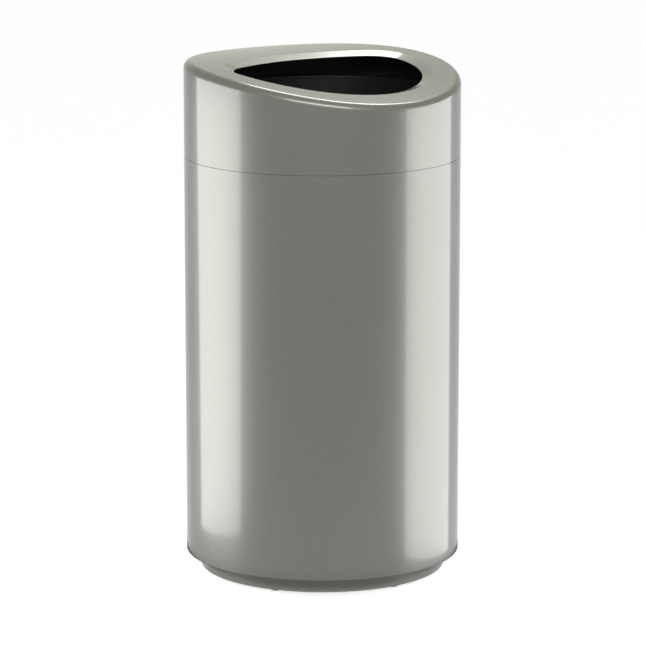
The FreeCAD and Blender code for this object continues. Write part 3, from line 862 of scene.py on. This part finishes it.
@dataclass
class Plinth(Assembly):
    """Recessed channel ring with its studs, washers, nuts and rubber feet.

    The trees holes and copies drill a ring of holes and set a ring of copies.
    """

    holes: NodeTree
    copies: NodeTree
    outside: float = 227.5 * MM
    foot: float = 2.0 * MM
    top: float = 32.5 * MM
    gauge: float = 1.5 * MM
    bend: float = 3.0 * MM
    top_flange: float = 40.5 * MM
    foot_flange: float = 27.0 * MM
    count: int = 6
    stud_circle: float = 207.25 * MM
    stud_radius: float = 3.0 * MM
    stud_length: float = 13.0 * MM
    stud_hole_gap: float = 0.3 * MM
    stud_columns: int = 20
    thread_pitch: float = 1.0 * MM
    thread_depth: float = 0.45 * MM
    thread_steps: int = 6
    washer_radius: float = 8.0 * MM
    washer_thickness: float = 1.6 * MM
    washer_edge: float = 0.3 * MM
    nut_across_flats: float = 10.0 * MM
    nut_height: float = 5.0 * MM
    nut_countersink: float = 0.4 * MM
    nut_face_share: float = 0.96
    nut_chamfer: float = math.radians(30)
    thread_gap: float = 0.1 * MM
    bumper_circle: float = 214.0 * MM
    bumper_radius: float = 10.0 * MM
    bumper_foot_bend: float = 0.9 * MM
    bumper_top_bend: float = 0.5 * MM
    neck_radius: float = 4.0 * MM
    neck_gap: float = 0.1 * MM
    barb_radius: float = 5.5 * MM
    barb_height: float = 4.0 * MM
    barb_edge: float = 0.4 * MM
    barb_tip_share: float = 0.55
    barb_tip_bend: float = 1.2 * MM

    @property
    def stud_ring(self) -> dict[str, float]:
        """Count, radius and first angle of the ring of studs."""
        return {"Count": self.count, "Ring_Radius": self.stud_circle, "First_Angle": 0.0}

    @property
    def bumper_ring(self) -> dict[str, float]:
        """Count, radius and first angle of the ring of feet."""
        return {"Count": self.count, "Ring_Radius": self.bumper_circle, "First_Angle": math.pi / 2}

    @property
    def stud_hole(self) -> float:
        """Radius of the holes that the studs pass through."""
        return self.stud_radius + self.stud_hole_gap

    @property
    def washer_level(self) -> float:
        """Level of the washers' lower face."""
        return self.top - self.gauge - self.washer_thickness

    def ring(self) -> Object:
        """Make the channel ring with its two rings of holes.

        Returns:
            The plinth ring.
        """
        top_inner = self.outside - self.top_flange
        foot_inner = self.outside - self.foot_flange
        web = self.outside - self.gauge
        tight = self.bend - self.gauge
        piece = turned("plinth", [
            Corner(foot_inner, self.foot),
            Corner(self.outside, self.foot, self.bend),
            Corner(self.outside, self.top, self.bend),
            Corner(top_inner, self.top),
            Corner(top_inner, self.top - self.gauge),
            Corner(web, self.top - self.gauge, tight),
            Corner(web, self.foot + self.gauge, tight),
            Corner(foot_inner, self.foot + self.gauge),
        ])
        depth = 3 * self.gauge
        run_tree(piece, self.holes, **self.stud_ring, Level=self.top - self.gauge / 2,
                 Hole_Radius=self.stud_hole, Hole_Depth=depth, Material=self.shelf.silver)
        run_tree(piece, self.holes, **self.bumper_ring, Level=self.foot + self.gauge / 2,
                 Hole_Radius=self.neck_radius + self.neck_gap, Hole_Depth=depth, Material=self.shelf.silver)
        return place(piece, RidesOn.CAN, Slot.SILVER_PAINT, "plinth_ring")

    def studs(self) -> Object:
        """Make the weld studs with their rolled thread.

        Returns:
            The ring of studs.
        """
        steps = round(self.stud_length / self.thread_pitch * self.thread_steps)
        rows = [[Vector()]]
        for step in range(steps + 1):
            level = self.stud_length * step / steps
            near_end = min(1.0, level / self.thread_pitch)
            row = []
            for angle in angles_round(self.stud_columns):
                phase = (level / self.thread_pitch - angle / (2 * math.pi)) % 1.0
                depth = self.thread_depth * abs(2 * phase - 1)
                radius = self.stud_radius - depth * near_end - self.thread_depth * (1 - near_end)
                row.append(polar(radius, angle, level))
            rows.append(row)
        rows.append([Vector((0.0, 0.0, self.stud_length))])
        piece = shaped("studs", rows, [Coat.OUTSIDE] * len(rows), closed=False)
        run_tree(piece, self.copies, **self.stud_ring, Level=self.top - self.stud_length,
                 Material=self.shelf.zinc)
        return place(piece, RidesOn.CAN, Slot.ZINC_STEEL, "plinth_studs")

    def washers(self) -> Object:
        """Make the flat washers.

        Returns:
            The ring of washers.
        """
        piece = flat_ring("washers", (self.stud_hole, self.washer_radius), (0.0, self.washer_thickness),
                          self.washer_edge, SMALL_COLUMNS)
        run_tree(piece, self.copies, **self.stud_ring, Level=self.washer_level, Material=self.shelf.zinc)
        return place(piece, RidesOn.CAN, Slot.ZINC_STEEL, "stud_washers")

    def nuts(self) -> Object:
        """Make the hexagon nuts with chamfered corners.

        Returns:
            The ring of nuts.
        """
        flat = self.nut_across_flats / 2
        bore = self.stud_radius + self.thread_gap
        sink = self.nut_countersink
        face = flat * self.nut_face_share
        top = self.nut_height
        half_side = math.pi / 6
        sections = []
        for angle in angles_round(SMALL_COLUMNS):
            off_flat = (angle + half_side) % (2 * half_side) - half_side
            reach = flat / math.cos(abs(abs(off_flat) - half_side))
            drop = (reach - face) * math.tan(self.nut_chamfer)
            section = ((bore, sink), (bore + sink, 0.0), (face, 0.0), (reach, drop),
                       (reach, top - drop), (face, top), (bore + sink, top), (bore, top - sink))
            sections.append([polar(radius, angle, level) for radius, level in section])
        rows = list(zip(*sections))
        piece = shaped("nuts", rows, [Coat.OUTSIDE] * len(rows))
        run_tree(piece, self.copies, **self.stud_ring, Level=self.washer_level - self.nut_height,
                 Material=self.shelf.zinc)
        return place(piece, RidesOn.CAN, Slot.ZINC_STEEL, "stud_nuts")

    def bumpers(self) -> Object:
        """Make the push-in rubber feet.

        Returns:
            The ring of feet.
        """
        seat = self.foot + self.gauge
        barb_top = seat + self.barb_height
        piece = turned("bumpers", [
            Corner(0.0, 0.0),
            Corner(self.bumper_radius, 0.0, self.bumper_foot_bend),
            Corner(self.bumper_radius, self.foot, self.bumper_top_bend),
            Corner(self.neck_radius, self.foot),
            Corner(self.neck_radius, seat),
            Corner(self.barb_radius, seat, self.barb_edge),
            Corner(self.barb_radius * self.barb_tip_share, barb_top, self.barb_tip_bend),
            Corner(0.0, barb_top),
        ], closed=False, columns=SMALL_COLUMNS)
        run_tree(piece, self.copies, **self.bumper_ring, Level=0.0, Material=self.shelf.rubber)
        return place(piece, RidesOn.CAN, Slot.BLACK_RUBBER, "floor_bumpers")

    def build(self) -> list[Object]:
        """Make all pieces of the plinth."""
        return [self.ring(), self.studs(), self.washers(), self.nuts(), self.bumpers()]


@dataclass
class Lid(Assembly):
    """Skirt and arched top in one skin, with the open mouth and its sloping lip."""

    outside: float = 254.0 * MM
    gauge: float = 1.5 * MM
    foot: float = 773.1 * MM
    foot_bend: float = 0.25 * MM
    foot_tight: float = 0.3 * MM
    foot_inner: float = 242.5 * MM
    front_edge: float = 893.5 * MM
    crown_radius: float = 1490.0 * MM
    crown_offset: float = 146.0 * MM
    rim_radius: float = 13.7 * MM
    deck_width: float = 71.4 * MM
    mouth_back_reach: float = 82.5 * MM
    mouth_back_radius: float = 429.0 * MM
    mouth_corner_radius: float = 57.0 * MM
    mouth_middle: float = -43.0 * MM
    lip_width: float = 20.0 * MM
    lip_drop: float = 8.0 * MM
    lip_bend: float = 6.0 * MM
    lip_bend_steps: int = 6
    lip_shares: tuple[float, ...] = (0.05, 0.35, 0.65, 0.95)
    hem_steps: int = 4
    round_steps: int = 14
    wall_shares: tuple[float, ...] = (0.006, 0.25, 0.5, 0.75, 0.994)
    deck_shares: tuple[float, ...] = (0.01, 0.12, 0.3, 0.5, 0.7, 0.88, 0.99)
    flange_edge_shares: tuple[float, ...] = (0.7, 0.3)

    @property
    def crown_centre(self) -> float:
        """Level of the line that the top arches about."""
        reach = self.outside + self.crown_offset
        sag = self.crown_radius - math.sqrt(self.crown_radius ** 2 - reach ** 2)
        return self.front_edge + sag - self.crown_radius

    def arch(self, across: float, radius: float) -> float:
        """Level of an arch of this radius at a distance behind the axis."""
        return self.crown_centre + math.sqrt(radius ** 2 - (across - self.crown_offset) ** 2)

    def ball(self, spot: Vector, radius: float) -> tuple[Vector, Vector]:
        """Seat a ball under the arch, as the rounding of an edge does.

        Args:
            spot: Plan position of the ball.
            radius: Radius of the ball.

        Returns:
            Its centre, and the direction in which it meets the arch.
        """
        within = self.crown_radius - radius
        centre = Vector((spot.x, spot.y, self.arch(spot.y, within)))
        upwards = Vector((0.0, spot.y - self.crown_offset, centre.z - self.crown_centre)) / within
        return centre, upwards

    def mouth_edge(self, outwards: Vector) -> tuple[Vector, Vector]:
        """Find the edge of the mouth in one direction from its middle.

        Args:
            outwards: Plan direction.

        Returns:
            The point on the edge, and the edge's outward direction there.
        """
        front = self.outside - self.deck_width
        back_centre = Vector((0.0, self.mouth_back_reach - self.mouth_back_radius))
        near = front - self.mouth_corner_radius
        far = self.mouth_back_radius - self.mouth_corner_radius
        apart = -back_centre.y
        along = (far ** 2 - near ** 2 + apart ** 2) / (2 * apart)
        corner = Vector((math.sqrt(far ** 2 - along ** 2), back_centre.y + along))
        start = Vector((0.0, self.mouth_middle))
        side = 1.0 if outwards.x >= 0 else -1.0
        heading = Vector((abs(outwards.x), outwards.y)).normalized()

        def hit(centre: Vector, radius: float) -> Vector:
            """Far crossing of the heading with a circle."""
            offset = start - centre
            half = offset.dot(heading)
            reach = -half + math.sqrt(max(0.0, half ** 2 - offset.length_squared + radius ** 2))
            return start + heading * reach

        on_front = hit(Vector((0.0, 0.0)), front)
        on_back = hit(back_centre, self.mouth_back_radius)
        if math.atan2(on_front.y, on_front.x) <= math.atan2(corner.y, corner.x):
            point, normal = on_front, on_front.normalized()
        elif math.atan2(on_back.y - back_centre.y, on_back.x) >= math.atan2(along, corner.x):
            point, normal = on_back, (on_back - back_centre).normalized()
        else:
            point = hit(corner, self.mouth_corner_radius)
            normal = (point - corner).normalized()
        return Vector((point.x * side, point.y, 0.0)), Vector((normal.x * side, normal.y, 0.0))

    def section(self, angle: float) -> tuple[list[Vector], list[Coat]]:
        """Go once round the sheet at one angle about the axis.

        Args:
            angle: Angle of the section at the lid's outer edge.

        Returns:
            The points from the lower flange up the outside, over the lip and down the inside,
            and the coat on the stretch after each.
        """
        gauge = self.gauge
        bend = self.foot_bend
        tight = self.foot_tight
        shares = [step / self.round_steps for step in range(self.round_steps + 1)]
        spoke = polar(1.0, angle, 0.0)
        rise = Vector((0.0, 0.0, 1.0))

        def at(radius: float, level: float) -> Vector:
            """Point of the section's plane."""
            return spoke * radius + rise * level

        rim, rim_up = self.ball(spoke * (self.outside - self.rim_radius), self.rim_radius)
        edge = spoke * self.outside
        lip_top, lip_under = self.lip(*self.mouth_edge(Vector((edge.x, edge.y - self.mouth_middle))))
        wall = self.outside - gauge
        flange_top = self.foot + gauge
        wall_low = flange_top + tight
        bend_centre = at(self.outside - bend, self.foot + bend)
        tight_centre = at(wall - tight, wall_low)

        outside = [at(self.foot_inner + HOLD, self.foot), at(self.outside - bend - HOLD, self.foot)]
        outside += [bend_centre + arc_between(-rise, spoke, share) * bend for share in shares[::2]]
        outside += [at(self.outside, wall_low + (rim.z - wall_low) * share) for share in self.wall_shares]
        outside += [rim + arc_between(spoke, rim_up, share) * self.rim_radius for share in shares]
        outside += self.deck(outside[-1], lip_top[0], self.crown_radius)
        outside += lip_top

        inside = lip_under
        rim_inner = self.rim_radius - gauge
        inside += self.deck(inside[-1], rim + rim_up * rim_inner, self.crown_radius - gauge)
        inside += [rim + arc_between(rim_up, spoke, share) * rim_inner for share in shares]
        inside += [at(wall, rim.z + (wall_low - rim.z) * share) for share in self.wall_shares]
        inside += [tight_centre + arc_between(spoke, -rise, share) * tight for share in shares[::2]]
        inside += [at(wall - tight - HOLD, flange_top), at(self.foot_inner + HOLD, flange_top)]
        inside += [at(self.foot_inner, self.foot + gauge * share) for share in self.flange_edge_shares]

        coats = [Coat.OUTSIDE] * len(outside) + [Coat.INSIDE] * len(inside)
        return outside + inside, coats

    def lip(self, mouth: Vector, away: Vector) -> tuple[list[Vector], list[Vector]]:
        """Slope the sheet from the deck down to the edge of the mouth.

        Args:
            mouth: Plan position of the edge.
            away: Plan direction from the mouth to the deck.

        Returns:
            The points of the upper face from the deck to the edge, and those of the lower face
            from the edge back to the deck.
        """
        edge = Vector((mouth.x, mouth.y, self.arch(mouth.y, self.crown_radius) - self.lip_drop))
        spot = mouth + away * self.lip_width
        crease = Vector((spot.x, spot.y, self.arch(spot.y, self.crown_radius)))
        climb = (spot.y - self.crown_offset) / (crease.z - self.crown_centre) * away.y
        inwards = Vector((-away.x, -away.y, climb)).normalized()
        along = (edge - crease).normalized()
        across = Vector((away.y, -away.x, 0.0))
        deck_up = inwards.cross(across)
        lip_up = along.cross(across)
        setback = self.lip_bend * math.tan(inwards.angle(along) / 2)
        centre = crease - inwards * setback - deck_up * self.lip_bend
        soft = self.gauge / 2
        tip = edge - (along + lip_up) * soft
        steps = self.lip_bend_steps
        turns = [math.pi / 2 * step / self.hem_steps for step in range(self.hem_steps)]

        def face(radius: float, side: float) -> list[Vector]:
            """One face of the sheet, from the deck to its rounded edge."""
            bend = [centre + arc_between(deck_up, lip_up, step / steps) * radius for step in range(steps + 1)]
            last = tip + lip_up * soft * side
            slope = [bend[-1].lerp(last, share) for share in self.lip_shares]
            hem = [tip + (lip_up * side * math.cos(turn) + along * math.sin(turn)) * soft for turn in turns]
            return bend + slope + hem

        upper = face(self.lip_bend, 1.0) + [tip + along * soft]
        return upper, face(self.lip_bend - self.gauge, -1.0)[::-1]

    def deck(self, start: Vector, end: Vector, radius: float) -> list[Vector]:
        """Cross the arched top between two of its points.

        Args:
            start: First point.
            end: Last point.
            radius: Radius of the arch.

        Returns:
            The points between them.
        """
        spots = [start.lerp(end, share) for share in self.deck_shares]
        return [Vector((spot.x, spot.y, self.arch(spot.y, radius))) for spot in spots]

    def build(self) -> list[Object]:
        """Make the lid.

        Returns:
            The lid's one piece.
        """
        sections = [self.section(angle) for angle in angles_round(COLUMNS)]
        coats = sections[0][1]
        piece = shaped("hood", zip(*(points for points, _ in sections)), coats)
        paint(piece, self.shelf.silver, self.shelf.black)
        return [place(piece, RidesOn.LID, Slot.SILVER_PAINT, "lid_skirt", "lid_cap")]


@dataclass
class Liner(Assembly):
    """Tapered black liner with a turned-down rim and two hand slots; slots is the tree that cuts them."""

    slots: NodeTree
    floor_level: float = 34.0 * MM
    top: float = 889.5 * MM
    rim: float = 235.0 * MM
    shoulder: float = 227.0 * MM
    base: float = 207.0 * MM
    wall: float = 3.0 * MM
    floor: float = 4.0 * MM
    heel: float = 14.0 * MM
    rim_turn: float = 14.0 * MM
    rim_round: float = 2.4 * MM
    rim_hollow: float = 0.6 * MM
    rim_edge: float = 0.5 * MM
    slot_length: float = 110.0 * MM
    slot_height: float = 34.0 * MM
    slot_corner: float = 14.0 * MM
    slot_drop: float = 46.0 * MM
    slot_reach_share: float = 1.1

    def build(self) -> list[Object]:
        """Make the liner.

        Returns:
            The liner's one piece.
        """
        low = self.floor_level
        floor_top = low + self.floor
        turn_low = self.top - self.rim_turn
        piece = turned("liner", [
            Corner(0.0, low),
            Corner(self.base, low, self.heel),
            Corner(self.shoulder, self.top - self.wall, self.rim_hollow),
            Corner(self.rim - self.wall, self.top - self.wall, self.rim_hollow),
            Corner(self.rim - self.wall, turn_low, self.rim_edge),
            Corner(self.rim, turn_low, self.rim_edge),
            Corner(self.rim, self.top, self.rim_round),
            Corner(self.shoulder - self.wall, self.top, self.rim_round),
            Corner(self.base - self.wall, floor_top, self.heel - self.wall),
            Corner(0.0, floor_top),
        ], closed=False)
        run_tree(piece, self.slots, Length=self.slot_length, Height=self.slot_height,
                 Corner=self.slot_corner, Level=self.top - self.slot_drop,
                 Reach=self.rim * self.slot_reach_share, Material=self.shelf.plastic)
        return [place(piece, RidesOn.LINER, Slot.BLACK_PLASTIC, "liner_bucket")]


@dataclass(frozen=True)
class Softbox:
    """A flat soft lamp that shows in gloss and not to the camera.

    Attributes:
        name: Name of the lamp.
        middle: Its middle, in metres to the right of the can's axis, behind it and above the floor,
            as the camera sees them.
        aim: Point that it faces, given in the same way.
        width: Its width.
        height: Its height.
        glow: Brightness of its face, where 1 is white.
    """

    name: str
    middle: Place
    aim: Place
    width: float
    height: float
    glow: float

    def hang(self, to_scene: Callable[[float, float, float], Place]) -> Object:
        """Put the lamp in the scene.

        Args:
            to_scene: Turns a place as the camera sees it into the can's frame.

        Returns:
            The lamp.
        """
        light = bpy.data.lights.new(self.name, "AREA")
        light.shape = "RECTANGLE"
        light.size = self.width
        light.size_y = self.height
        light.energy = self.glow * math.pi * self.width * self.height
        lamp = bpy.data.objects.new(self.name, light)
        lamp.location = to_scene(*self.middle)
        facing = Vector(to_scene(*self.aim)) - Vector(to_scene(*self.middle))
        lamp.rotation_euler = facing.to_track_quat("-Z", "Y").to_euler()
        lamp.visible_camera = False
        bpy.context.scene.collection.objects.link(lamp)
        return lamp


SOFTBOXES = (
    Softbox("left_softbox", middle=(-0.515, -0.12, 0.45), aim=(0.0, -0.12, 0.42),
            width=0.42, height=0.9, glow=3.2),
    Softbox("right_softbox", middle=(0.37, -0.12, 0.455), aim=(0.0, -0.12, 0.455),
            width=0.30, height=0.91, glow=2.55),
    Softbox("back_softbox", middle=(0.24, 0.94, 2.36), aim=(0.0, 0.0, 0.95),
            width=1.06, height=0.66, glow=8.5),
    Softbox("front_softbox", middle=(0.05, -2.0, 1.82), aim=(0.0, 0.0, 0.90),
            width=1.9, height=0.22, glow=14.5),
)


@dataclass
class Studio:
    """Pale floor, soft lamps, white surroundings and the camera."""

    floor_half: float = 30.0
    floor_colour: float = 0.7
    floor_glow: float = 0.64
    floor_gloss: tuple[float, float] = (1.06, 0.86)
    floor_reach: tuple[float, float] = (0.4, 2.4)
    floor_shade: float = 0.8
    floor_shade_start: tuple[float, float] = (0.245, 0.275)
    floor_shade_end: tuple[float, float] = (0.31, 0.345)
    surround_glow: float = 1.0
    surround_gloss: float = 0.85
    surround_fill: float = 0.5
    surround_tint: tuple[float, float, float] = (1.0, 1.0, 0.9)
    camera_distance: float = 6.708
    camera_height: float = 1.8084
    camera_aside: float = 1.2 * MM
    camera_azimuth: float = -36.8
    camera_pitch: float = 11.395
    camera_lens: float = 205.66
    camera_sensor: float = 36.0
    camera_sight: float = 200.0

    def floor_material(self) -> Material:
        """Make the floor white to the camera, and in gloss a glow with the shade round the plinth.

        Returns:
            The floor's material.
        """
        material = bpy.data.materials.new("pale_floor")
        material.use_nodes = True
        bench = NodeBench(material.node_tree)
        bench.tree.nodes.clear()
        path = bench.add("ShaderNodeLightPath")
        spot = bench.add("ShaderNodeTexCoord").outputs["Object"]
        reach = bench.add("ShaderNodeVectorMath", {0: spot}, operation="LENGTH").outputs["Value"]

        matt = bench.add("ShaderNodeBsdfDiffuse", {"Color": (self.floor_colour,) * 3 + (1.0,)})
        direct = bench.math("MULTIPLY", path.outputs["Is Camera Ray"], self.floor_glow)
        glow = bench.add("ShaderNodeEmission", {"Strength": direct})
        both = bench.add("ShaderNodeAddShader", {0: matt.outputs[0], 1: glow.outputs[0]})

        steps = []
        for start, end in (self.floor_shade_start, self.floor_shade_end):
            step = bench.add("ShaderNodeMapRange", {"Value": reach, "From Min": start, "From Max": end},
                             interpolation_type="SMOOTHSTEP")
            steps.append(step.outputs["Result"])
        ring = bench.math("MULTIPLY", bench.math("SUBTRACT", *steps), self.floor_shade)
        fall = bench.add("ShaderNodeMapRange", {
            "Value": reach, "From Min": self.floor_reach[0], "From Max": self.floor_reach[1],
            "To Min": self.floor_gloss[0], "To Max": self.floor_gloss[1]})
        unshaded = bench.math("SUBTRACT", 1.0, ring)
        image = bench.add("ShaderNodeEmission", {
            "Strength": bench.math("MULTIPLY", unshaded, fall.outputs["Result"])})

        shown = bench.add("ShaderNodeMixShader", {
            0: bench.mirrored(path), 1: both.outputs[0], 2: image.outputs[0]})
        bench.add("ShaderNodeOutputMaterial", {"Surface": shown.outputs[0]})
        return material

    def floor(self) -> Object:
        """Lay the floor, white with the object's soft shadow on it.

        Returns:
            The floor.
        """
        half = self.floor_half
        corners = [(-half, -half, 0), (half, -half, 0), (half, half, 0), (-half, half, 0)]
        mesh = bpy.data.meshes.new("floor")
        mesh.from_pydata(corners, [], [(0, 1, 2, 3)])
        mesh.materials.append(self.floor_material())
        floor = bpy.data.objects.new("floor", mesh)
        bpy.context.scene.collection.objects.link(floor)
        return floor

    def surround(self) -> None:
        """Set white surroundings that light the object softly."""
        world = bpy.data.worlds.new("surround")
        world.use_nodes = True
        bench = NodeBench(world.node_tree)
        sky = bench.tree.nodes["Background"]
        path = bench.add("ShaderNodeLightPath")
        tint = bench.add("ShaderNodeMix", data_type="RGBA", wires={
            "A": (1.0, 1.0, 1.0, 1.0), "B": (*self.surround_tint, 1.0),
            "Factor": path.outputs["Is Glossy Ray"]})
        straight = bench.math("MULTIPLY", path.outputs["Is Camera Ray"], self.surround_glow)
        in_gloss = bench.math("MULTIPLY", bench.mirrored(path), self.surround_gloss)
        seen = bench.math("MAXIMUM", straight, in_gloss)
        bench.feed(tint.outputs["Result"], sky.inputs["Color"])
        bench.feed(bench.math("MAXIMUM", seen, self.surround_fill), sky.inputs["Strength"])
        bpy.context.scene.world = world

    def to_scene(self, right: float, depth: float, up: float) -> Place:
        """Turn a place given from the camera's side into the can's frame.

        Args:
            right: Metres to the right of the can's axis.
            depth: Metres behind the axis, away from the camera.
            up: Metres above the floor.

        Returns:
            The place in the can's frame.
        """
        turn = math.radians(self.camera_azimuth)
        return (right * math.cos(turn) - depth * math.sin(turn),
                right * math.sin(turn) + depth * math.cos(turn), up)

    def lamps(self) -> list[Object]:
        """Hang the soft lamps: two tall ones at the sides, one high behind and a flat one ahead."""
        return [box.hang(self.to_scene) for box in SOFTBOXES]

    def camera(self) -> Object:
        """Stand the camera at the photograph's viewing angle.

        Returns:
            The camera.
        """
        data = bpy.data.cameras.new("camera")
        data.sensor_width = self.camera_sensor
        data.lens = self.camera_lens
        data.clip_end = self.camera_sight
        camera = bpy.data.objects.new("camera", data)
        camera.location = self.to_scene(self.camera_aside, -self.camera_distance, self.camera_height)
        tilt = math.radians(90.0 - self.camera_pitch)
        camera.rotation_euler = (tilt, 0.0, math.radians(self.camera_azimuth))
        bpy.context.scene.collection.objects.link(camera)
        bpy.context.scene.camera = camera
        return camera

    def build(self) -> None:
        """Set up the studio."""
        self.floor()
        self.surround()
        self.lamps()
        self.camera()
        bpy.context.scene.view_settings.view_transform = "Standard"


def main() -> None:
    """Build the can and its studio."""
    logging.basicConfig(level=logging.INFO, format="%(name)s: %(message)s")
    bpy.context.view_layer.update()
    shelf = FinishShelf()
    holes = ring_of_holes_tree()
    copies = ring_of_copies_tree()
    slots = hand_slots_tree()
    assemblies: dict[str, Assembly] = {
        "body": CanBody(shelf),
        "plinth": Plinth(shelf, holes, copies),
        "liner": Liner(shelf, slots),
        "lid": Lid(shelf),
    }
    for name, assembly in assemblies.items():
        for piece in assembly.build():
            LOG.info("%s: %s, %d faces", name, piece.name, len(piece.data.polygons))
    Studio().build()


if __name__ == "__main__":
    main()
